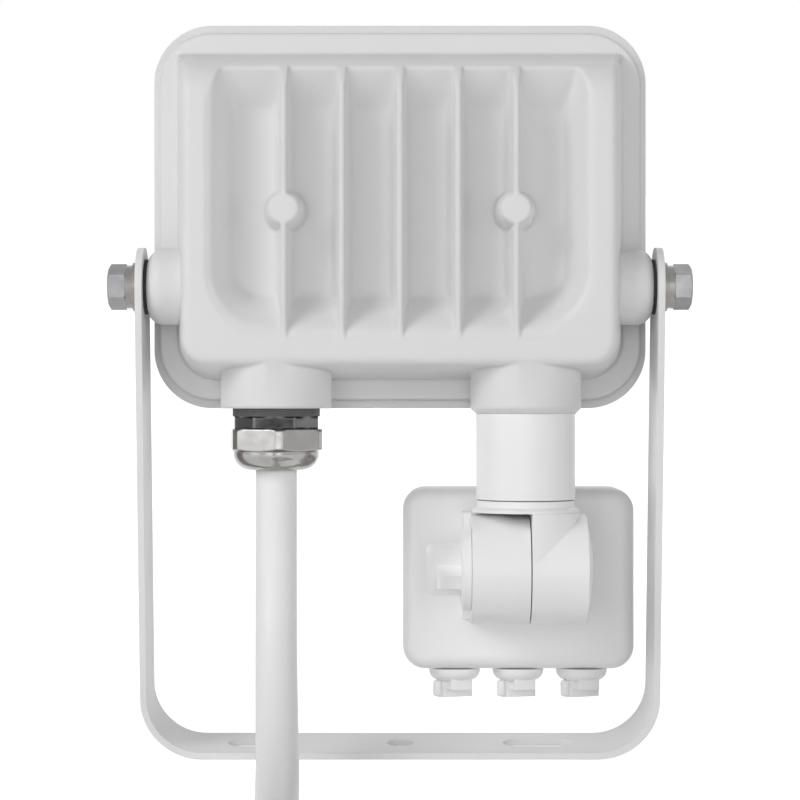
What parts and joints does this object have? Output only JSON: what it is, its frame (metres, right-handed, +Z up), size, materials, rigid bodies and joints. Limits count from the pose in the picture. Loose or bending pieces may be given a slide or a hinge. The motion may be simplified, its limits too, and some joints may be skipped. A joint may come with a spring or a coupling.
{
  "type": "motion sensor floodlight",
  "caption": "Small finned floodlight on a U bracket, with a cable gland and a motion sensor head on a swivel arm below it.",
  "frame": {"origin": "centre of the underside of the bracket's web, midway between the two slots", "axes": "+X right as seen from behind the lamp, along the bolt axis; +Y the way the lamp shines; +Z up, from the bracket's web to the lamp"},
  "size_m": [0.1184, 0.2143, 0.1496],
  "materials": {
    "housing_white": "satin white powder coat on die-cast metal",
    "bracket_white": "satin white powder coat on steel",
    "front_glass": "clear tempered glass",
    "black_rubber": "matte",
    "grey_rubber": "matte",
    "reflector_white": "matte white",
    "board_white": "white solder mask",
    "phosphor": "matte yellow phosphor",
    "terminal_cream": "matte",
    "steel": "plain",
    "zinc": "zinc plated",
    "nickel": "nickel plated",
    "sensor_white": "semi-gloss moulded",
    "lens_white": "milky",
    "board_green": "solder mask",
    "dial_blue": "moulded",
    "knob_white": "semi-gloss moulded",
    "cord_white": "smooth matte sheath",
    "tie_black": "matte",
    "core_brown": "insulated cores"
  },
  "bodies": {
    "bracket": {"mounting_bracket": "bracket_white", "supply_cord_drop": "cord_white", "supply_cord_coil": "cord_white", "cord_tie": "tie_black", "cord_cores": "core_brown"},
    "lamp": {"rear_housing": "housing_white", "front_frame": "housing_white", "front_glass": "front_glass", "glass_gasket": "black_rubber", "reflector": "reflector_white", "led_board": "board_white", "led_chips": "phosphor", "board_screws": "steel", "terminal_block": "terminal_cream", "rubber_washer_left": "black_rubber", "rubber_washer_right": "black_rubber", "flat_washer_left": "zinc", "flat_washer_right": "zinc", "lock_washer_left": "zinc", "lock_washer_right": "zinc", "pivot_bolt_left": "steel", "pivot_bolt_right": "steel", "gland_washer": "grey_rubber", "gland_body": "nickel", "gland_nut": "nickel", "gland_seal": "black_rubber", "cord_in_gland": "cord_white", "sensor_arm": "sensor_white"},
    "swivel": {"swivel_fork": "sensor_white", "swivel_clip": "steel", "clamp_nut": "steel", "hinge_cap": "sensor_white"},
    "sensor_head": {"sensor_back_shell": "sensor_white", "sensor_front_shell": "sensor_white", "sensor_lens": "lens_white", "sensor_board": "board_green", "motion_detector": "nickel", "setting_dials": "dial_blue"},
    "range_knob": {"range_knob": "knob_white"},
    "light_level_knob": {"light_level_knob": "knob_white"},
    "time_knob": {"time_knob": "knob_white"},
    "wing_screw": {"wing_screw": "knob_white"}
  },
  "joints": [
    {"name": "lamp_tilt", "type": "hinge", "parent": "bracket", "child": "lamp", "pos_m": [0, 0, 0.0965], "axis": [1, 0, 0], "range_deg": [-90, 90], "deforming": ["supply_cord_drop"]},
    {"name": "sensor_pan", "type": "hinge", "parent": "lamp", "child": "swivel", "pos_m": [0.0255, -0.00685, 0.05301], "axis": [0, 0.1219, 0.9925], "range_deg": [-4, 80]},
    {"name": "sensor_tilt", "type": "hinge", "parent": "swivel", "child": "sensor_head", "pos_m": [0.0262, -0.00847, 0.03981], "axis": [-1, 0, 0], "range_deg": [0, 40]},
    {"name": "range_knob_turn", "type": "hinge", "parent": "sensor_head", "child": "range_knob", "pos_m": [0.0115, 0.00869, 0.01544], "axis": [0, 0.1219, 0.9925], "range_deg": [-135, 135]},
    {"name": "light_level_knob_turn", "type": "hinge", "parent": "sensor_head", "child": "light_level_knob", "pos_m": [0.0249, 0.00869, 0.01544], "axis": [0, 0.1219, 0.9925], "range_deg": [-135, 135]},
    {"name": "time_knob_turn", "type": "hinge", "parent": "sensor_head", "child": "time_knob", "pos_m": [0.0383, 0.00869, 0.01544], "axis": [0, 0.1219, 0.9925], "range_deg": [-135, 135]},
    {"name": "wing_screw_turn", "type": "hinge", "parent": "swivel", "child": "wing_screw", "pos_m": [0.013, -0.00847, 0.03981], "axis": [1, 0, 0], "continuous": true}
  ]
}
